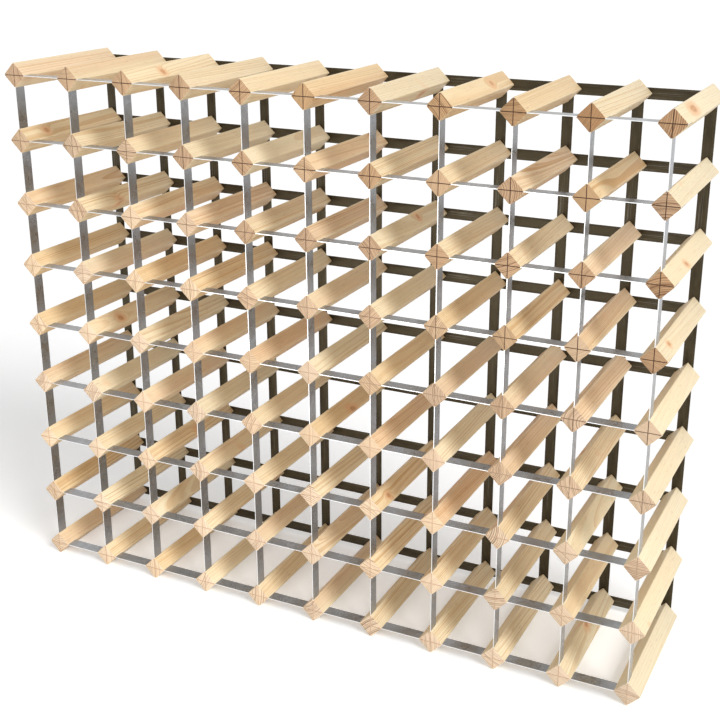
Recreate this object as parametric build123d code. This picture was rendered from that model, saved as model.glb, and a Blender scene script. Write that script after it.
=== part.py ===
from build123d import *
import os
from math import sqrt

# Wine rack of square pine bars set corner up and tied by steel strips.
# X runs along the width, Y from front to back and Z up. All sizes are in millimetres.

# Grid of bars, with a square hole between each four
column_count = 11
row_count = 9
bar_pitch = 98.5

# Pine bars, square in section
bar_side = 27.0
bar_length = 228.0

# Front strips, driven edge on into saw kerfs until they lie just below the bar ends
front_strip_width = 19.0
front_strip_thickness = 1.0
front_strip_recess = 0.5
kerf_clearance = 0.1
lap_clearance = 0.1
front_end_inset = 0.5

# Rear straps, laid flat on the bar ends
rear_strap_width = 16.0
rear_strap_thickness = 1.0
rear_end_inset = 9.0

# Sizes that follow from the ones above
kerf_width = front_strip_thickness + 2 * kerf_clearance
kerf_depth = front_strip_recess + front_strip_width
arris_flat = kerf_width
lap_slot_width = front_strip_thickness + 2 * lap_clearance
lap_slot_depth = front_strip_width / 2
half_diagonal = (bar_side * sqrt(2) - arris_flat) / 2

last_column = column_count - 1
last_row = row_count - 1
column_xs = [(column - last_column / 2) * bar_pitch for column in range(last_column + 1)]
row_zs = [half_diagonal + row * bar_pitch for row in range(last_row + 1)]
rack_width = last_column * bar_pitch + 2 * half_diagonal
rack_height = last_row * bar_pitch + 2 * half_diagonal
rack_depth = bar_length + 2 * rear_strap_thickness

front_y = -rack_depth / 2
strip_front_y = front_y + front_strip_recess
lap_y = strip_front_y + lap_slot_depth
kerf_floor_y = front_y + kerf_depth
strip_middle_y = (strip_front_y + kerf_floor_y) / 2
bar_rear_y = front_y + bar_length
middle_z = rack_height / 2


def pine_bar():
    """One bar on the Y axis: eased arrises, and a cross of two kerfs on the front end's diagonals."""
    square = Rectangle(bar_side, bar_side)
    section = Rot(0, 0, 45) * chamfer(square.vertices(), arris_flat / sqrt(2))
    front_end = Plane(origin=(0, front_y, 0), x_dir=(1, 0, 0), z_dir=(0, 1, 0))
    blank = extrude(front_end * section, bar_length)
    kerf = Pos(0, front_y + kerf_depth / 2, 0) * Box(kerf_width, kerf_depth, bar_side * 2)
    return blank - kerf - Rot(0, 90, 0) * kerf


def bar_row(z):
    """All the bars of one row, as separate solids."""
    bar = pine_bar()
    return Compound(children=[Pos(x, 0, z) * bar for x in column_xs])


def front_horizontal_strip(z):
    """Strip lying level, slotted from its front edge where the upright strips cross it."""
    length = rack_width - 2 * front_end_inset
    outline = Pos(0, strip_middle_y) * Rectangle(length, front_strip_width)
    slot_y = (strip_front_y + lap_y) / 2
    slots = [Pos(x, slot_y) * Rectangle(lap_slot_width, lap_slot_depth) for x in column_xs]
    return Pos(0, 0, z) * extrude(outline - slots, front_strip_thickness / 2, both=True)


def front_vertical_strip(x):
    """Upright strip, slotted from its inner edge so that it straddles each level strip."""
    length = rack_height - 2 * front_end_inset
    outline = Pos(strip_middle_y, middle_z) * Rectangle(front_strip_width, length)
    slot_y = (lap_y + kerf_floor_y) / 2
    slots = [Pos(slot_y, z) * Rectangle(lap_slot_depth, lap_slot_width) for z in row_zs]
    return Pos(x, 0, 0) * extrude(Plane.YZ * (outline - slots), front_strip_thickness / 2, both=True)


def rear_horizontal_strap(z):
    """Flat strap across one row, against the rear ends of its bars."""
    length = rack_width - 2 * rear_end_inset
    y = bar_rear_y + rear_strap_thickness / 2
    return Pos(0, y, z) * Box(length, rear_strap_thickness, rear_strap_width)


def rear_vertical_strap(x):
    """Flat strap down one column, lying over the level straps."""
    length = rack_height - 2 * rear_end_inset
    y = bar_rear_y + rear_strap_thickness * 3 / 2
    return Pos(x, y, middle_z) * Box(rear_strap_width, rear_strap_thickness, length)


nodes = {}
for number, z in enumerate(row_zs, start=1):
    nodes[f"pine_bars_row_{number}"] = bar_row(z)
    nodes[f"front_horizontal_strip_{number}"] = front_horizontal_strip(z)
    nodes[f"rear_horizontal_strap_{number}"] = rear_horizontal_strap(z)
for number, x in enumerate(column_xs, start=1):
    nodes[f"front_vertical_strip_{number}"] = front_vertical_strip(x)
    nodes[f"rear_vertical_strap_{number}"] = rear_vertical_strap(x)

os.makedirs("parts", exist_ok=True)
for name, shape in nodes.items():
    export_step(shape, os.path.join("parts", name + ".step"))
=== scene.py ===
import math
import random

import bpy
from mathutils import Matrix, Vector


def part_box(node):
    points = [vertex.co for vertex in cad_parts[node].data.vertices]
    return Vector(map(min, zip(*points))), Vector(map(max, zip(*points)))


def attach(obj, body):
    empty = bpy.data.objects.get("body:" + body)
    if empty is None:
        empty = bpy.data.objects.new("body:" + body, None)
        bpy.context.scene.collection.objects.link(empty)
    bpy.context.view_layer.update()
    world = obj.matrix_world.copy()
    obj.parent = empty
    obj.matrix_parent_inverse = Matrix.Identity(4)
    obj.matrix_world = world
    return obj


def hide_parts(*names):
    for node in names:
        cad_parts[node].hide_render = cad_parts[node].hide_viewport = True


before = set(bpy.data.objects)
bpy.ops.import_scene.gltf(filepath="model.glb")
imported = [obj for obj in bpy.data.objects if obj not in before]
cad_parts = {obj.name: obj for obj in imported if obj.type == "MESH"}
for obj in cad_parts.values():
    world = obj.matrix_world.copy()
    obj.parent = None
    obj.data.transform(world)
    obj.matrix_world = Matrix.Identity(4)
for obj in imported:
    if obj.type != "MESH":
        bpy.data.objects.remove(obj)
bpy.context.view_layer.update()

# Pine bars
# Lengths of planed softwood, square in section, run from front to back with one arris up and one down.
# Their arrises are eased, and a cross of two saw kerfs is cut into each front end on its diagonals.
# The nail in the middle of each rear end has pressed the straps a little way into the wood.

row_names = sorted(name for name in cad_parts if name.startswith("pine_bars_row_"))
column_names = [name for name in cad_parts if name.startswith("front_vertical_strip_")]
row_count = len(row_names)
column_count = len(column_names)
row_low, row_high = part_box(row_names[0])
strip_low, strip_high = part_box("front_horizontal_strip_1")

kerf_clearance = 0.0002
kerf_width = strip_high.z - strip_low.z + kerf_clearance
half_diagonal = (row_high.z - row_low.z) / 2
bar_side = (2 * half_diagonal + kerf_width) / math.sqrt(2)
bar_front_y = row_low.y
bar_rear_y = row_high.y
bar_length = bar_rear_y - bar_front_y
kerf_depth = strip_high.y - bar_front_y
arris_radius = kerf_width / 2 / (math.sqrt(2) - 1)
arris_steps = 4
end_easing = 0.0005

pitch = (row_high.x - row_low.x - 2 * half_diagonal) / (column_count - 1)
column_xs = [row_low.x + half_diagonal + column * pitch for column in range(column_count)]
row_zs = [(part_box(name)[0].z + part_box(name)[1].z) / 2 for name in row_names]

dish_sides = 16
dish_radius = 0.0055
dish_floor_radius = 0.0037
dish_depth = 0.0008
nail_radius = 0.00125
nail_length = 0.032

cream_earlywood = (0.89, 0.77, 0.54, 1)
golden_earlywood = (0.84, 0.59, 0.31, 1)
pink_heartwood = (0.84, 0.58, 0.38, 1)
latewood_stain = (0.76, 0.57, 0.38, 1)
resin_duct = (0.62, 0.40, 0.24, 1)
end_earlywood = (0.53, 0.30, 0.145, 1)
end_pale = (0.88, 0.69, 0.50, 1)
end_latewood_stain = (0.28, 0.18, 0.13, 1)
knot_heart = (0.52, 0.23, 0.10, 1)
knot_halo = (0.82, 0.47, 0.24, 1)
# Painted shade on the walls of the kerfs
painted_kerf_wall_shade = (0.34, 0.17, 0.10, 1)

# Fineness of the wood's patterns across, along and up a bar
fibre_grain = (900, 16, 900)
duct_grain = (1300, 55, 1300)
patch_grain = (22, 5, 22)
fuzz_grain = (1100, 40, 1100)
wander_grain = (16, 2.4, 16)
knot_grain = (160, 90, 160)

# Rings: how far they wander, bulge about a knot and differ in width, and where late wood darkens and ends
ring_wander = 0.007
knot_bulge = 0.0035
bulge_tightness = 0.35
good_year_pace = 0.35
good_year_swing = 1.6
ring_shuffle = 57.0
late_wood_fade = (0.2, 0.86)
ring_edge_fade = (0.90, 1.0)
end_ring_sharpness = 1.8

# Distances over which one look passes into another, those of a knot's core and halo in knot radii
heart_fade = (0.02, 0.06)
knot_start_fade = (0.0, 0.006)
knot_core_fade = (0.7, 1.05)
knot_halo_fade = (0.8, 2.9)
arris_highlight_fade = (half_diagonal - 0.0018, half_diagonal - 0.0004)
kerf_wall_fade = (kerf_width * 0.5, kerf_width * 0.6)
kerf_floor_fade = (kerf_depth, kerf_depth + 0.001)
kerf_mouth_fade = (half_diagonal - 0.003, half_diagonal - 0.001)

# Ranges from which each bar gets its own place in a log, its rings and its knot
pith_distances = (0.018, 0.11)
ring_spacings = (0.0018, 0.0034)
end_contrasts = (0.25, 1.0)
side_contrasts = (0.35, 1.0)
grain_slopes = (-0.03, 0.03)
log_length = 40
knotty_share = 0.4
knot_swing = (-0.5, 0.5)
knot_places = (bar_front_y + 0.02, bar_rear_y - 0.01)
knot_radii = (0.003, 0.0065)
knot_rises = (0.2, 0.8)

# Few bars are very golden, and painted light makes the last column plainer and less golden than the rest
gold_rarity = 1.5
last_column_painted_light_contrast = 0.35
last_column_painted_light_gold = 0.25

# Sawn ends are palest at the bottom left and grow browner upwards and to the right, as painted light and
# painted shade
palest_end = 1.5
painted_shade_upwards = 1.05
painted_shade_rightwards = 0.45
paleness_spread = (-0.2, 0.2)

# Bars of paler or of browner wood than the ones about them, by row and column
paler_bars = {(9, 11), (8, 11)}
browner_bars = {(9, 10), (8, 10), (7, 11), (6, 11)}
own_shade = 0.25

# Bars whose ends show clearly, by row and column: the pith's turn and distance, ring spacing and contrast
chosen_rings = {
    (9, 11): (math.radians(172), 0.085, 0.0029, 1.0),
    (8, 11): (math.radians(-84), 0.075, 0.0034, 1.0),
    (7, 11): (math.radians(-72), 0.060, 0.0030, 1.0),
    (6, 11): (math.radians(-112), 0.070, 0.0025, 0.6),
    (1, 11): (math.radians(-95), 0.080, 0.0026, 0.5),
    (9, 10): (math.radians(150), 0.090, 0.0019, 0.4),
    (8, 10): (math.radians(40), 0.095, 0.0020, 0.2),
    (4, 10): (math.radians(12), 0.060, 0.0023, 0.7),
    (9, 9): (math.radians(98), 0.100, 0.0017, 0.9),
}

# Bars with a knot in a known place: its turn about the bar, its place along it, its radius and its rise
chosen_knots = {
    (9, 11): (math.radians(45), bar_front_y + 0.062, 0.0060, 1.05),
    (7, 11): (math.radians(25), bar_front_y + 0.086, 0.0036, 0.8),
    (8, 1): (math.radians(45), bar_front_y + 0.050, 0.0050, 0.4),
}


def select_only(piece):
    """Selects one piece and makes it the active one."""
    bpy.ops.object.select_all(action="DESELECT")
    piece.select_set(True)
    bpy.context.view_layer.objects.active = piece


def settle():
    """Puts the place, turn and scale of the selected piece into its mesh."""
    bpy.ops.object.transform_apply(location=True, rotation=True, scale=True)


def pick_edges(piece, wanted):
    """Goes into edit mode with only the edges selected whose two end points satisfy wanted."""
    select_only(piece)
    bpy.ops.object.mode_set(mode="EDIT")
    bpy.ops.mesh.select_mode(type="EDGE")
    bpy.ops.mesh.select_all(action="DESELECT")
    bpy.ops.object.mode_set(mode="OBJECT")
    points = piece.data.vertices
    for edge in piece.data.edges:
        edge.select = wanted(points[edge.vertices[0]].co, points[edge.vertices[1]].co)
    bpy.ops.object.mode_set(mode="EDIT")


def cut_away(piece, cutter):
    """Takes the shape of the selected cutter out of the piece and deletes the cutter."""
    settle()
    select_only(piece)
    bpy.ops.object.modifier_add(type="BOOLEAN")
    cut = piece.modifiers[-1]
    cut.operation = "DIFFERENCE"
    cut.solver = "EXACT"
    cut.object = cutter
    bpy.ops.object.modifier_apply(modifier=cut.name)
    bpy.data.objects.remove(cutter)


def make_blank():
    """A bar on the Y axis, as it comes from the planer, with eased arrises and end edges."""
    bpy.ops.object.select_all(action="DESELECT")
    bpy.ops.mesh.primitive_cube_add(
        size=1,
        location=(0, (bar_front_y + bar_rear_y) / 2, 0),
        rotation=(0, math.pi / 4, 0),
        scale=(bar_side, bar_length, bar_side),
    )
    bar = bpy.context.object
    settle()
    pick_edges(bar, lambda a, b: abs(a.y - b.y) > bar_length / 2)
    bpy.ops.mesh.bevel(offset=arris_radius, segments=arris_steps, affect="EDGES")
    bpy.ops.object.mode_set(mode="OBJECT")
    pick_edges(bar, lambda a, b: abs(a.y - b.y) < bar_length / 2)
    bpy.ops.mesh.bevel(offset=end_easing, segments=2, affect="EDGES")
    bpy.ops.object.mode_set(mode="OBJECT")
    return bar


def make_bar():
    """A blank with two kerfs in its front end, and its nail's hollow and hole in the rear end."""
    bar = make_blank()
    for turn in (0, math.pi / 2):
        bpy.ops.object.select_all(action="DESELECT")
        bpy.ops.mesh.primitive_cube_add(
            size=1,
            location=(0, bar_front_y, 0),
            rotation=(0, turn, 0),
            scale=(kerf_width, 2 * kerf_depth, 2 * bar_side),
        )
        cut_away(bar, bpy.context.object)
    bpy.ops.object.select_all(action="DESELECT")
    bpy.ops.mesh.primitive_cone_add(
        vertices=dish_sides,
        radius1=2 * dish_radius - dish_floor_radius,
        radius2=dish_floor_radius,
        depth=2 * dish_depth,
        location=(0, bar_rear_y, 0),
        rotation=(math.pi / 2, 0, 0),
    )
    cut_away(bar, bpy.context.object)
    bpy.ops.object.select_all(action="DESELECT")
    bpy.ops.mesh.primitive_cylinder_add(
        vertices=dish_sides,
        radius=nail_radius,
        depth=2 * nail_length,
        location=(0, bar_rear_y, 0),
        rotation=(math.pi / 2, 0, 0),
    )
    cut_away(bar, bpy.context.object)
    select_only(bar)
    bpy.ops.object.shade_smooth_by_angle(angle=math.radians(40))
    return bar


def copy_of(pattern):
    """A copy of a piece, with a mesh of its own."""
    copy = pattern.copy()
    copy.data = pattern.data.copy()
    bpy.context.scene.collection.objects.link(copy)
    return copy


def joined(pieces, name):
    """Joins pieces into one, which sits at the origin with its place in its mesh."""
    bpy.ops.object.select_all(action="DESELECT")
    for piece in pieces:
        piece.select_set(True)
    bpy.context.view_layer.objects.active = pieces[0]
    bpy.ops.object.join()
    settle()
    pieces[0].name = name
    return pieces[0]


def stamp(mesh, name, value_at):
    """Gives each point of the mesh a vector that is worked out from its place."""
    layer = mesh.attributes.new(name, "FLOAT_VECTOR", "POINT")
    for point, entry in zip(mesh.vertices, layer.data):
        entry.vector = value_at(point.co)


def mark_rings(mesh, chance, row, column):
    """Says where in its log a bar was sawn and how its rings look, and returns where the pith lies."""
    pith_turn = chance.uniform(0, 2 * math.pi)
    pith_distance = chance.uniform(*pith_distances)
    ring_spacing = chance.uniform(*ring_spacings)
    end_contrast = chance.uniform(*end_contrasts)
    side_contrast = chance.uniform(*side_contrasts)
    if (row, column) in chosen_rings:
        pith_turn, pith_distance, ring_spacing, end_contrast = chosen_rings[row, column]
    # Painted light: the last column's sides show fainter grain
    if column == column_count:
        side_contrast = side_contrast * last_column_painted_light_contrast
    pith = Vector((math.cos(pith_turn), 0, math.sin(pith_turn))) * pith_distance
    slope_x = chance.uniform(*grain_slopes)
    slope_z = chance.uniform(*grain_slopes)
    along_log = chance.uniform(0, log_length)

    def log_place(point):
        return (
            point.x - pith.x + slope_x * point.y,
            point.y + along_log,
            point.z - pith.z + slope_z * point.y,
        )

    stamp(mesh, "log_place", log_place)
    stamp(mesh, "bar_rings", lambda point: (ring_spacing, end_contrast, side_contrast))
    return pith


def mark_knot(mesh, chance, row, column, pith):
    """Says how far each point lies from the axis of the bar's knot, which grows away from the pith."""
    has_knot = chance.random() < knotty_share
    knot_turn = math.atan2(-pith.z, -pith.x) + chance.uniform(*knot_swing)
    knot_y = chance.uniform(*knot_places)
    knot_radius = chance.uniform(*knot_radii)
    knot_rise = chance.uniform(*knot_rises)
    if (row, column) in chosen_knots:
        has_knot = True
        knot_turn, knot_y, knot_radius, knot_rise = chosen_knots[row, column]
    outward = Vector((math.cos(knot_turn), 0, math.sin(knot_turn)))
    axis = outward * math.cos(knot_rise) + Vector((0, math.sin(knot_rise), 0))
    side = Vector((-math.sin(knot_turn), 0, math.cos(knot_turn)))
    over = axis.cross(side)
    exit_point = outward * bar_side / 2 + Vector((0, knot_y, 0))
    far_from_any_knot = (9, 9, -1)

    def knot_place(point):
        if not has_knot:
            return far_from_any_knot
        away = point - exit_point
        return (away.dot(side) / knot_radius, away.dot(over) / knot_radius, away.dot(axis) + bar_side)

    stamp(mesh, "knot_place", knot_place)


def mark_tint(mesh, chance, row, column):
    """Says how a bar's colour differs from the others, with painted shade on the ends towards the top
    right.
    """
    tone = chance.uniform(-1, 1)
    gold = chance.uniform(0, 1) ** gold_rarity
    # Painted light: the last column is less golden
    if column == column_count:
        gold = gold * last_column_painted_light_gold
    paleness_and_painted_light = palest_end + chance.uniform(*paleness_spread)
    # Painted light and shade: ends paler towards the bottom left, browner upwards and to the right
    paleness_and_painted_light = paleness_and_painted_light - painted_shade_upwards * (row - 1) / (row_count - 1)
    paleness_and_painted_light = paleness_and_painted_light - painted_shade_rightwards * (column - 1) / (column_count - 1)
    if (row, column) in paler_bars:
        paleness_and_painted_light = paleness_and_painted_light + own_shade
    if (row, column) in browner_bars:
        paleness_and_painted_light = paleness_and_painted_light - own_shade
    paleness_and_painted_light = min(max(paleness_and_painted_light, 0), 1)
    stamp(mesh, "bar_tint", lambda point: (tone, gold, paleness_and_painted_light))


def mark_wood(mesh, row, column):
    """Makes the wood of one bar its own."""
    chance = random.Random(1000 * row + column)
    pith = mark_rings(mesh, chance, row, column)
    mark_knot(mesh, chance, row, column, pith)
    mark_tint(mesh, chance, row, column)
    stamp(mesh, "bar_place", lambda point: (point.x, point.y - bar_front_y, point.z))


def add_node(tree, kind, inputs=None, **settings):
    """Adds a shader node and sets or links its inputs."""
    made = tree.nodes.new(kind)
    for name, value in settings.items():
        setattr(made, name, value)
    for socket, value in (inputs or {}).items():
        if isinstance(value, bpy.types.NodeSocket):
            tree.links.new(value, made.inputs[socket])
        else:
            made.inputs[socket].default_value = value
    return made


def maths(tree, operation, first, second=0.0):
    """The result of one operation on one or two values."""
    return add_node(tree, "ShaderNodeMath", {0: first, 1: second}, operation=operation).outputs[0]


def total(tree, first, *others):
    """Several values added up."""
    for other in others:
        first = maths(tree, "ADD", first, other)
    return first


def product(tree, first, *others):
    """Several values multiplied."""
    for other in others:
        first = maths(tree, "MULTIPLY", first, other)
    return first


def swung(tree, value, middle, swing):
    """Turns a value between 0 and 1 into one about the middle, give or take half the swing."""
    return total(tree, product(tree, value, swing), middle - swing / 2)


def blended(tree, share, first, second, mode="MIX"):
    """A colour between two others, or one laid over the other in the given mode."""
    mix = add_node(
        tree, "ShaderNodeMix", {0: share, 6: first, 7: second}, data_type="RGBA", blend_type=mode
    )
    return mix.outputs[2]


def dimmed(tree, colour, shade):
    """The colour with its brightness multiplied by the shade."""
    grey = add_node(tree, "ShaderNodeCombineColor", {0: shade, 1: shade, 2: shade}).outputs[0]
    return blended(tree, 1.0, colour, grey, "MULTIPLY")


def eased(tree, value, low, high, start=0.0, end=1.0):
    """Runs smoothly from start to end as the value goes from low to high."""
    ease = add_node(
        tree,
        "ShaderNodeMapRange",
        {0: value, 1: low, 2: high, 3: start, 4: end},
        interpolation_type="SMOOTHSTEP",
    )
    return ease.outputs[0]


def stretched_noise(tree, place, scale, detail=2.0, roughness=0.5):
    """Noise at a place, with its own scale along each axis."""
    spread = add_node(tree, "ShaderNodeVectorMath", {0: place, 1: scale}, operation="MULTIPLY")
    noise = add_node(
        tree,
        "ShaderNodeTexNoise",
        {"Vector": spread.outputs[0], "Scale": 1.0, "Detail": detail, "Roughness": roughness},
    )
    return noise.outputs[0]


def read_vector(tree, name):
    """An attribute of the piece as a vector."""
    return add_node(tree, "ShaderNodeAttribute", attribute_name=name).outputs["Vector"]


def split(tree, vector):
    """The three parts of a vector."""
    parts = add_node(tree, "ShaderNodeSeparateXYZ", {0: vector}).outputs
    return parts[0], parts[1], parts[2]


def distance_from_axis(tree, across, over):
    """The distance of a place from an axis, from how far it is across and over it."""
    flat = add_node(tree, "ShaderNodeCombineXYZ", {0: across, 1: over}).outputs[0]
    return add_node(tree, "ShaderNodeVectorMath", {0: flat}, operation="LENGTH").outputs["Value"]


def facing_along_y(tree, coords):
    """How squarely the surface faces the front or the back, from 0 to 1."""
    facing = split(tree, coords.outputs["Normal"])
    return eased(tree, maths(tree, "ABSOLUTE", facing[1]), 0.55, 0.9)


def finish_surface(tree, colour, roughness, height, bump_strength, bump_depth):
    """Links the colour, the roughness and the bump to the surface shader and returns it."""
    surface = tree.nodes["Principled BSDF"]
    bump = add_node(
        tree, "ShaderNodeBump", {"Strength": bump_strength, "Distance": bump_depth, "Height": height}
    )
    tree.links.new(colour, surface.inputs["Base Color"])
    tree.links.new(roughness, surface.inputs["Roughness"])
    tree.links.new(bump.outputs[0], surface.inputs["Normal"])
    return surface


def knot_shape(tree, log):
    """The distance from the knot's axis, in knot radii, and whether the knot has begun there."""
    knot_side, knot_over, knot_along = split(tree, read_vector(tree, "knot_place"))
    wobble = stretched_noise(tree, log, knot_grain)
    reach = total(tree, distance_from_axis(tree, knot_side, knot_over), swung(tree, wobble, 0.0, 0.7))
    return reach, eased(tree, knot_along, *knot_start_fade)


def growth_rings(tree, log, ring_spacing, tone, knot_reach, knot_here):
    """The distance from the pith, and how dark the late wood of the ring is there, on sides and on ends.

    The rings wander, differ in width and strength, and are pushed aside by the knot.
    They show more sharply and evenly on the sawn ends.
    """
    log_parts = split(tree, log)
    wander = stretched_noise(tree, log, wander_grain)
    bulge = maths(tree, "EXPONENT", product(tree, maths(tree, "POWER", knot_reach, 2.0), -bulge_tightness))
    bulge = product(tree, bulge, knot_here, knot_bulge)
    radius = distance_from_axis(tree, log_parts[0], log_parts[2])
    radius = total(tree, radius, swung(tree, wander, 0.0, ring_wander))
    radius = maths(tree, "SUBTRACT", radius, bulge)
    even_count = maths(tree, "DIVIDE", radius, ring_spacing)
    good_years = add_node(
        tree,
        "ShaderNodeTexNoise",
        {"W": total(tree, product(tree, even_count, good_year_pace), tone)},
        noise_dimensions="1D",
    )
    ring_count = total(tree, even_count, product(tree, good_years.outputs[0], good_year_swing))
    in_ring = maths(tree, "FRACT", ring_count)
    ring_number = total(tree, maths(tree, "FLOOR", ring_count), product(tree, tone, ring_shuffle))
    ring_noise = add_node(tree, "ShaderNodeTexWhiteNoise", {"W": ring_number}, noise_dimensions="1D")
    strength = ring_noise.outputs["Value"]
    late = eased(tree, in_ring, *late_wood_fade)
    late = product(tree, late, eased(tree, in_ring, *ring_edge_fade, 1.0, 0.0))
    side_late = product(tree, late, swung(tree, strength, 0.7, 0.6))
    sharp_late = maths(tree, "POWER", late, end_ring_sharpness)
    end_late = product(tree, sharp_late, swung(tree, strength, 0.85, 0.3))
    return radius, side_late, end_late


def side_wood(tree, log, fibre, radius, late, tone, gold):
    """Planed sides: cream to golden wood, pinker towards the pith, with fibres, patches and resin ducts."""
    patch = stretched_noise(tree, log, patch_grain)
    colour = blended(tree, product(tree, gold, 0.8), cream_earlywood, golden_earlywood)
    colour = blended(tree, eased(tree, radius, *heart_fade, 0.6, 0.0), colour, pink_heartwood)
    colour = blended(tree, late, colour, blended(tree, 1.0, colour, latewood_stain, "MULTIPLY"))
    shade = total(tree, swung(tree, fibre, 1.0, 0.24), swung(tree, patch, 0.0, 0.16))
    colour = dimmed(tree, colour, total(tree, shade, product(tree, tone, 0.05)))
    ducts = stretched_noise(tree, log, duct_grain, detail=1.0)
    return blended(tree, eased(tree, ducts, 0.66, 0.76, 0.0, 0.55), colour, resin_duct, "MULTIPLY")


def end_wood(tree, place, late, tone, gold, paleness_and_painted_light):
    """Sawn ends: pinker or paler, with painted light and shade in their paleness, sharper rings and a fuzz
    of cut fibres.
    """
    fuzz = stretched_noise(tree, place, fuzz_grain, roughness=0.7)
    colour = blended(tree, paleness_and_painted_light, end_earlywood, end_pale)
    colour = blended(tree, product(tree, gold, 0.35), colour, golden_earlywood)
    colour = blended(tree, late, colour, blended(tree, 1.0, colour, end_latewood_stain, "MULTIPLY"))
    return dimmed(tree, colour, total(tree, swung(tree, fuzz, 1.0, 0.30), product(tree, tone, 0.07)))


def pine_material():
    """Softwood with growth rings about the pith, fibres along the bar, knots and darker sawn ends."""
    material = bpy.data.materials.new("pine")
    material.use_nodes = True
    tree = material.node_tree
    log = read_vector(tree, "log_place")
    place = read_vector(tree, "bar_place")
    ring_spacing, end_contrast, side_contrast = split(tree, read_vector(tree, "bar_rings"))
    tone, gold, paleness_and_painted_light = split(tree, read_vector(tree, "bar_tint"))
    on_end = facing_along_y(tree, add_node(tree, "ShaderNodeTexCoord"))

    knot_reach, knot_here = knot_shape(tree, log)
    radius, side_late, end_late = growth_rings(tree, log, ring_spacing, tone, knot_reach, knot_here)
    fibre = stretched_noise(tree, log, fibre_grain, detail=3.0, roughness=0.6)
    side_colour = side_wood(tree, log, fibre, radius, product(tree, side_late, side_contrast), tone, gold)
    end_colour = end_wood(tree, place, product(tree, end_late, end_contrast), tone, gold, paleness_and_painted_light)
    colour = blended(tree, on_end, side_colour, end_colour)

    # Knots, with rings of their own and a resinous halo
    halo = product(tree, eased(tree, knot_reach, *knot_halo_fade, 0.75, 0.0), knot_here)
    colour = blended(tree, halo, colour, knot_halo)
    knot_rings = maths(tree, "SINE", product(tree, knot_reach, 16.0))
    knot_core = product(tree, eased(tree, knot_reach, *knot_core_fade, 1.0, 0.0), knot_here)
    knot_core = product(tree, knot_core, swung(tree, knot_rings, 0.72, 0.25))
    colour = blended(tree, knot_core, colour, knot_heart)

    # Arrises lightened as a painted highlight, and painted shade on the walls of the kerfs, deeper in the
    # browner ends
    bar_x, bar_depth, bar_z = split(tree, place)
    from_upright = maths(tree, "ABSOLUTE", bar_x)
    from_level = maths(tree, "ABSOLUTE", bar_z)
    corner = maths(tree, "MAXIMUM", from_upright, from_level)
    # Painted highlight: the arrises are lightened towards cream
    arris_highlight = eased(tree, corner, *arris_highlight_fade, 0.0, 0.4)
    colour = blended(tree, arris_highlight, colour, cream_earlywood)
    from_kerf = maths(tree, "MINIMUM", from_upright, from_level)
    # Painted shade: the kerf walls are darkened brown, more in the browner ends
    kerf_wall_shade = product(
        tree,
        eased(tree, from_kerf, *kerf_wall_fade, 1.0, 0.0),
        eased(tree, bar_depth, *kerf_floor_fade, 1.0, 0.0),
        eased(tree, corner, *kerf_mouth_fade, 1.0, 0.0),
        eased(tree, paleness_and_painted_light, 0.0, 1.0, 1.0, 0.4),
    )
    colour = blended(tree, kerf_wall_shade, colour, painted_kerf_wall_shade)

    roughness = total(tree, swung(tree, fibre, 0.52, 0.25), product(tree, on_end, 0.2))
    height = total(tree, product(tree, side_late, 0.5), product(tree, fibre, 0.8))
    surface = finish_surface(tree, colour, roughness, height, bump_strength=0.25, bump_depth=0.0003)
    surface.inputs["Specular IOR Level"].default_value = 0.25
    return material


bar_pattern = make_bar()
bar_pattern.data.materials.append(pine_material())
for row, name in enumerate(row_names, start=1):
    bars = []
    for column, x in enumerate(column_xs, start=1):
        bar = copy_of(bar_pattern)
        mark_wood(bar.data, row, column)
        bar.location = (x, 0, row_zs[row - 1])
        bars.append(bar)
    bar_row = joined(bars, f"pine_row_{row}")
    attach(bar_row, "root")
    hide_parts(name)
bpy.data.objects.remove(bar_pattern)

# Front strips
# Thin galvanised steel strips are driven edge on into the kerfs, level ones first and upright ones over.
# They pass each other in half-lap slots, and their front edges lie just below the sawn ends of the bars.

zinc_pale = (0.41, 0.42, 0.44, 1)
zinc_dark = (0.30, 0.31, 0.32, 1)
sheared_edge = (0.88, 0.89, 0.90, 1)
# Painted shade, dark and pale, for the strips where they lie in the kerfs
painted_strip_shade_dark = (0.10, 0.06, 0.04, 1)
painted_strip_shade_pale = (0.68, 0.50, 0.36, 1)

# Fineness of the zinc's spangle and bloom, and how the painted shade on the strips in the kerfs deepens
# with each row and column
spangle_grain = 130.0
bloom_grain = (14, 14, 14)
in_bar_fade = (half_diagonal - 0.0016, half_diagonal - 0.0004)
strip_shade_row_step = 1.4
strip_shade_column_step = 0.6
strip_shade_fade = (7.0, 13.0)


def from_nearest(tree, value, first):
    """How far a place is from the nearest one of a row of bars, and which one that is."""
    steps = maths(tree, "DIVIDE", maths(tree, "SUBTRACT", value, first), pitch)
    nearest = maths(tree, "ROUND", steps)
    away = maths(tree, "ABSOLUTE", maths(tree, "SUBTRACT", steps, nearest))
    return product(tree, away, pitch), nearest


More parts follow.
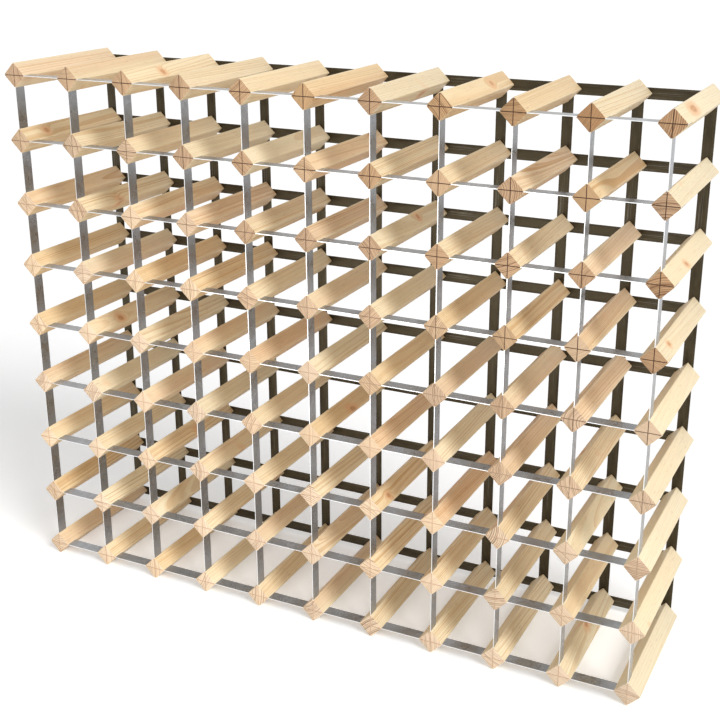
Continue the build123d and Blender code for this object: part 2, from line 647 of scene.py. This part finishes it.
def galvanised_material():
    """Zinc-coated sheet with a fine spangle, dull bloom and brighter sheared edges."""
    material = bpy.data.materials.new("galvanised_steel")
    material.use_nodes = True
    tree = material.node_tree
    coords = add_node(tree, "ShaderNodeTexCoord")
    place = coords.outputs["Object"]
    spangle = add_node(tree, "ShaderNodeTexVoronoi", {"Vector": place, "Scale": spangle_grain})
    flake = add_node(tree, "ShaderNodeSeparateColor", {0: spangle.outputs["Color"]}).outputs
    bloom = stretched_noise(tree, place, bloom_grain, detail=3.0)
    share = total(tree, swung(tree, flake[0], 0.25, 0.4), swung(tree, bloom, 0.25, 0.6))
    colour = blended(tree, share, zinc_dark, zinc_pale)
    colour = blended(tree, facing_along_y(tree, coords), colour, sheared_edge)

    # Painted shade browns the strips inside the bars, more towards the top right
    parts = split(tree, place)
    from_column, column_number = from_nearest(tree, parts[0], column_xs[0])
    from_row, row_number = from_nearest(tree, parts[2], row_zs[0])
    in_bar = eased(tree, total(tree, from_column, from_row), *in_bar_fade, 1.0, 0.0)
    upwards = product(tree, row_number, strip_shade_row_step)
    rightwards = product(tree, column_number, strip_shade_column_step)
    strip_shade = eased(tree, total(tree, upwards, rightwards), *strip_shade_fade)
    colour = blended(tree, in_bar, colour, blended(tree, strip_shade, painted_strip_shade_pale, painted_strip_shade_dark))

    roughness = total(tree, swung(tree, flake[1], 0.30, 0.10), swung(tree, bloom, 0.0, 0.10))
    roughness = total(tree, roughness, product(tree, in_bar, 0.3))
    surface = finish_surface(tree, colour, roughness, flake[2], bump_strength=0.04, bump_depth=0.0001)
    surface.inputs["Metallic"].default_value = 1.0
    return material


galvanised = galvanised_material()
for name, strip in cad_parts.items():
    if name.startswith("front_"):
        strip.material_slots[0].material = galvanised

# Rear straps
# Flat dark steel strapping lies across the rear ends of the bars, level straps first and upright ones over.
# At every crossing the nail has gone through both and dished them into the wood.

strap_low, strap_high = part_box("rear_horizontal_strap_1")
strap_width = strap_high.z - strap_low.z
strap_thickness = strap_high.y - strap_low.y
strap_overhang = column_xs[0] - strap_low.x
strap_edge_rounding = 0.00025
hair = 1e-6

strap_dark = (0.046, 0.037, 0.022, 1)
strap_worn = (0.090, 0.074, 0.046, 1)
strap_bare = (0.34, 0.32, 0.28, 1)

# Fineness of the steel's patterns along, through and across a strap
cloud_grain = (26, 60, 90)
rolled_grain = (12, 400, 900)
scratch_grain = (9, 300, 1500)
worn_edge_fade = (strap_width / 2 - 0.0008, strap_width / 2)


def make_crossing():
    """The outer face of the strap about one nail: a dish with a hole, in a square with a tail each side."""
    ring_radius = strap_width
    bpy.ops.object.select_all(action="DESELECT")
    bpy.ops.mesh.primitive_circle_add(vertices=dish_sides, radius=ring_radius, rotation=(math.pi / 2, 0, 0))
    crossing = bpy.context.object
    settle()
    bpy.ops.object.mode_set(mode="EDIT")
    bpy.ops.mesh.select_all(action="SELECT")
    for radius, drop in ((dish_radius, 0), (dish_floor_radius, dish_depth), (nail_radius, 0)):
        shrink = radius / ring_radius
        bpy.ops.mesh.extrude_edges_move(TRANSFORM_OT_translate={"value": (0, -drop, 0)})
        bpy.ops.transform.resize(value=(shrink, 1, shrink))
        ring_radius = radius
    for way in (Vector((1, 0, 0)), Vector((-1, 0, 0)), Vector((0, 0, 1)), Vector((0, 0, -1))):
        bpy.ops.mesh.select_all(action="SELECT")
        bpy.ops.mesh.bisect(plane_co=way * strap_width / 2, plane_no=way, clear_outer=True, threshold=hair)
    bpy.ops.object.mode_set(mode="OBJECT")
    tail = (pitch - strap_width) / 2
    for way in (-1, 1):
        pick_edges(crossing, lambda a, b: min(way * a.x, way * b.x) > strap_width / 2 - hair)
        bpy.ops.mesh.extrude_edges_move(TRANSFORM_OT_translate={"value": (way * tail, 0, 0)})
        bpy.ops.object.mode_set(mode="OBJECT")
    bpy.ops.object.mode_set(mode="EDIT")
    bpy.ops.mesh.select_all(action="SELECT")
    bpy.ops.mesh.normals_make_consistent(inside=False)
    bpy.ops.object.mode_set(mode="OBJECT")
    if max(face.normal.y for face in crossing.data.polygons) < 0.5:
        bpy.ops.object.mode_set(mode="EDIT")
        bpy.ops.mesh.flip_normals()
        bpy.ops.object.mode_set(mode="OBJECT")
    return crossing


def make_strap(crossings):
    """A strap along X from its first crossing at the origin, with its outer face at y = 0."""
    strap = make_crossing()
    bpy.ops.object.modifier_add(type="ARRAY")
    repeat = strap.modifiers[-1]
    repeat.count = crossings
    repeat.use_relative_offset = False
    repeat.use_constant_offset = True
    repeat.constant_offset_displace = (pitch, 0, 0)
    repeat.use_merge_vertices = True
    repeat.merge_threshold = hair
    bpy.ops.object.modifier_apply(modifier=repeat.name)
    far_end = (crossings - 1) * pitch + strap_overhang
    bpy.ops.object.mode_set(mode="EDIT")
    for end, way in ((-strap_overhang, -1), (far_end, 1)):
        bpy.ops.mesh.select_all(action="SELECT")
        bpy.ops.mesh.bisect(plane_co=(end, 0, 0), plane_no=(way, 0, 0), clear_outer=True, threshold=hair)
    bpy.ops.object.mode_set(mode="OBJECT")
    bpy.ops.object.modifier_add(type="SOLIDIFY")
    wall = strap.modifiers[-1]
    wall.thickness = strap_thickness
    wall.offset = -1
    bpy.ops.object.modifier_apply(modifier=wall.name)
    edge_z = strap_width / 2 - hair
    pick_edges(strap, lambda a, b: min(abs(a.z), abs(b.z)) > edge_z and abs(a.x - b.x) > hair)
    bpy.ops.mesh.bevel(offset=strap_edge_rounding, segments=2, affect="EDGES")
    bpy.ops.object.mode_set(mode="OBJECT")
    select_only(strap)
    bpy.ops.object.shade_smooth_by_angle(angle=math.radians(35))
    stamp(strap.data, "strap_place", lambda point: (point.x, point.y, point.z))
    return strap


def strapping_material():
    """Dark rolled strapping with fine lengthwise lines, a thin, cloudy oil finish and bare scratches."""
    material = bpy.data.materials.new("strapping_steel")
    material.use_nodes = True
    tree = material.node_tree
    place = read_vector(tree, "strap_place")
    across = maths(tree, "ABSOLUTE", split(tree, place)[2])
    cloud = stretched_noise(tree, place, cloud_grain, detail=4.0, roughness=0.6)
    cloud = eased(tree, cloud, 0.36, 0.64)
    rolled = stretched_noise(tree, place, rolled_grain, detail=4.0, roughness=0.65)
    worn_edge = eased(tree, across, *worn_edge_fade, 0.0, 0.5)
    share = total(tree, swung(tree, cloud, 0.40, 0.6), swung(tree, rolled, 0.0, 0.8), worn_edge)
    colour = blended(tree, share, strap_dark, strap_worn)
    scratches = stretched_noise(tree, place, scratch_grain, detail=1.0)
    scratches = eased(tree, scratches, 0.66, 0.78, 0.0, 0.45)
    colour = blended(tree, total(tree, scratches, product(tree, worn_edge, 0.3)), colour, strap_bare)
    roughness = total(tree, swung(tree, cloud, 0.42, 0.14), swung(tree, rolled, 0.0, 0.16))
    surface = finish_surface(tree, colour, roughness, rolled, bump_strength=0.12, bump_depth=0.0001)
    surface.inputs["Metallic"].default_value = 0.9
    return material


def lay_strap(pattern, name, node, place, turn):
    """Copies a strap to its place, where it stands for its node."""
    strap = copy_of(pattern)
    strap.name = name
    strap.location = place
    strap.rotation_euler = (0, turn, 0)
    select_only(strap)
    settle()
    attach(strap, "root")
    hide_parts(node)


strapping = strapping_material()
level_pattern = make_strap(column_count)
upright_pattern = make_strap(row_count)
level_pattern.data.materials.append(strapping)
upright_pattern.data.materials.append(strapping)
level_face_y = bar_rear_y + strap_thickness
upright_face_y = level_face_y + strap_thickness
for number, z in enumerate(row_zs, start=1):
    place = (column_xs[0], level_face_y, z)
    lay_strap(level_pattern, f"level_strap_{number}", f"rear_horizontal_strap_{number}", place, 0)
for number, x in enumerate(column_xs, start=1):
    place = (x, upright_face_y, row_zs[0])
    node = f"rear_vertical_strap_{number}"
    lay_strap(upright_pattern, f"upright_strap_{number}", node, place, -math.pi / 2)
bpy.data.objects.remove(level_pattern)
bpy.data.objects.remove(upright_pattern)

# Nails
# One round-headed zinc-plated wire nail holds both straps to the rear end of each bar.
# Its head sits in the dish of the upright strap, just below that strap's outer face.

nail_sides = 16
nail_head_radius = 0.0033
nail_head_rim = 0.00045
nail_head_dome = 0.0003
nail_dome_steps = ((0.7, 0.8), (0.3, 0.5))
nail_point_length = 0.003
nail_tip_share = 0.1
nail_seat_y = upright_face_y - dish_depth

nail_zinc_pale = (0.58, 0.59, 0.60, 1)
nail_zinc_dark = (0.33, 0.33, 0.33, 1)
mottle_grain = (700, 700, 700)
dulled_grain = (35, 35, 35)


def pick_end(piece, y):
    """Goes into edit mode with only the face selected that lies across the Y axis at this place."""
    select_only(piece)
    bpy.ops.object.mode_set(mode="EDIT")
    bpy.ops.mesh.select_mode(type="FACE")
    bpy.ops.mesh.select_all(action="DESELECT")
    bpy.ops.object.mode_set(mode="OBJECT")
    for face in piece.data.polygons:
        face.select = abs(face.normal.y) > 0.9 and abs(face.center.y - y) < hair
    bpy.ops.object.mode_set(mode="EDIT")


def push_end(depth, scale):
    """Extrudes the selected end along the Y axis and widens or narrows it."""
    bpy.ops.mesh.extrude_region_move(TRANSFORM_OT_translate={"value": (0, depth, 0)})
    bpy.ops.transform.resize(value=(scale, 1, scale))


def make_nail():
    """A nail along Y, with the underside of its head at y = 0 and its point towards the front."""
    shank = nail_length - nail_point_length
    bpy.ops.object.select_all(action="DESELECT")
    bpy.ops.mesh.primitive_cylinder_add(
        vertices=nail_sides,
        radius=nail_radius,
        depth=shank,
        location=(0, -shank / 2, 0),
        rotation=(math.pi / 2, 0, 0),
    )
    nail = bpy.context.object
    settle()
    pick_end(nail, -shank)
    push_end(-nail_point_length, nail_tip_share)
    bpy.ops.object.mode_set(mode="OBJECT")
    pick_end(nail, 0)
    push_end(0, nail_head_radius / nail_radius)
    push_end(nail_head_rim, 1)
    for rise, narrowing in nail_dome_steps:
        push_end(nail_head_dome * rise, narrowing)
    bpy.ops.mesh.select_all(action="SELECT")
    bpy.ops.mesh.normals_make_consistent(inside=False)
    bpy.ops.object.mode_set(mode="OBJECT")
    bpy.ops.object.shade_smooth_by_angle(angle=math.radians(40))
    return nail


def nail_material():
    """Zinc-plated wire with a mottled, slightly hammered head."""
    material = bpy.data.materials.new("nail_zinc")
    material.use_nodes = True
    tree = material.node_tree
    place = add_node(tree, "ShaderNodeTexCoord").outputs["Object"]
    mottle = stretched_noise(tree, place, mottle_grain, detail=3.0, roughness=0.6)
    dulled = stretched_noise(tree, place, dulled_grain)
    share = total(tree, swung(tree, mottle, 0.3, 0.8), swung(tree, dulled, 0.2, 0.6))
    colour = blended(tree, share, nail_zinc_dark, nail_zinc_pale)
    roughness = swung(tree, mottle, 0.38, 0.25)
    surface = finish_surface(tree, colour, roughness, mottle, bump_strength=0.3, bump_depth=0.0002)
    surface.inputs["Metallic"].default_value = 1.0
    return material


nail_pattern = make_nail()
nail_pattern.data.materials.append(nail_material())
for row, z in enumerate(row_zs, start=1):
    nails = []
    for x in column_xs:
        nail = copy_of(nail_pattern)
        nail.location = (x, nail_seat_y, z)
        nails.append(nail)
    nail_row = joined(nails, f"nails_row_{row}")
    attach(nail_row, "root")
bpy.data.objects.remove(nail_pattern)

# Floor, light and camera
# A plain white studio floor under soft light from the right, with a weaker fill low down in front.
# The floor and the surroundings look white, and the rack's shadow falls softly on the floor.
# The view is from the front right and a little above.

floor_size = 60
floor_lift = 0.30
surroundings = 0.42
key_strength = 2.2
key_spread = math.radians(25)
key_place = Vector((2.7, -1.4, 2.6))
fill_power = 2.9
fill_width = 0.8
fill_height = 0.4
fill_place = Vector((-0.25, -1.0, 0.25))
lamp_aim = Vector((0, 0, 0.3))


def seen_directly(tree):
    """1 for rays that come from the view, a reflection or clear matter, and 0 for diffuse light."""
    path = add_node(tree, "ShaderNodeLightPath").outputs
    seen = total(tree, path["Is Camera Ray"], path["Is Glossy Ray"], path["Is Transmission Ray"])
    return maths(tree, "MINIMUM", seen, 1.0)


bpy.ops.object.select_all(action="DESELECT")
bpy.ops.mesh.primitive_plane_add(size=floor_size, location=(0, 0, 0))
floor = bpy.context.object
floor.name = "floor"
floor_paint = bpy.data.materials.new("floor_paint")
floor_paint.use_nodes = True
floor_surface = floor_paint.node_tree.nodes["Principled BSDF"]
floor_surface.inputs["Base Color"].default_value = (0.9, 0.9, 0.9, 1)
floor_surface.inputs["Roughness"].default_value = 0.9
floor_surface.inputs["Specular IOR Level"].default_value = 0.0
floor_surface.inputs["Emission Color"].default_value = (1, 1, 1, 1)
lift = product(floor_paint.node_tree, seen_directly(floor_paint.node_tree), floor_lift)
floor_paint.node_tree.links.new(lift, floor_surface.inputs["Emission Strength"])
floor.data.materials.append(floor_paint)

world = bpy.data.worlds.new("studio")
world.use_nodes = True
bpy.context.scene.world = world
backdrop = world.node_tree.nodes["Background"]
backdrop.inputs["Color"].default_value = (1, 1, 1, 1)
brightness = eased(world.node_tree, seen_directly(world.node_tree), 0.0, 1.0, surroundings, 1.0)
world.node_tree.links.new(brightness, backdrop.inputs["Strength"])

key_light = bpy.data.lights.new("key_light", "SUN")
key_light.energy = key_strength
key_light.angle = key_spread
fill_light = bpy.data.lights.new("fill_light", "AREA")
fill_light.energy = fill_power
fill_light.shape = "RECTANGLE"
fill_light.size = fill_width
fill_light.size_y = fill_height
for light, place in ((key_light, key_place), (fill_light, fill_place)):
    lamp = bpy.data.objects.new(light.name, light)
    lamp.location = place
    lamp.rotation_euler = (lamp_aim - place).to_track_quat("-Z", "Y").to_euler()
    lamp.visible_camera = False
    bpy.context.scene.collection.objects.link(lamp)

lens = bpy.data.cameras.new("view")
lens.sensor_width = 36.0
lens.lens = 61.335
lens.shift_x = -0.0221
lens.shift_y = -0.0286
camera = bpy.data.objects.new("view", lens)
camera.location = (0.801, -1.5566, 1.0496)
camera.rotation_euler = (math.radians(70.40), 0, math.radians(25.68))
bpy.context.scene.collection.objects.link(camera)
bpy.context.scene.camera = camera
bpy.context.scene.view_settings.view_transform = "Standard"
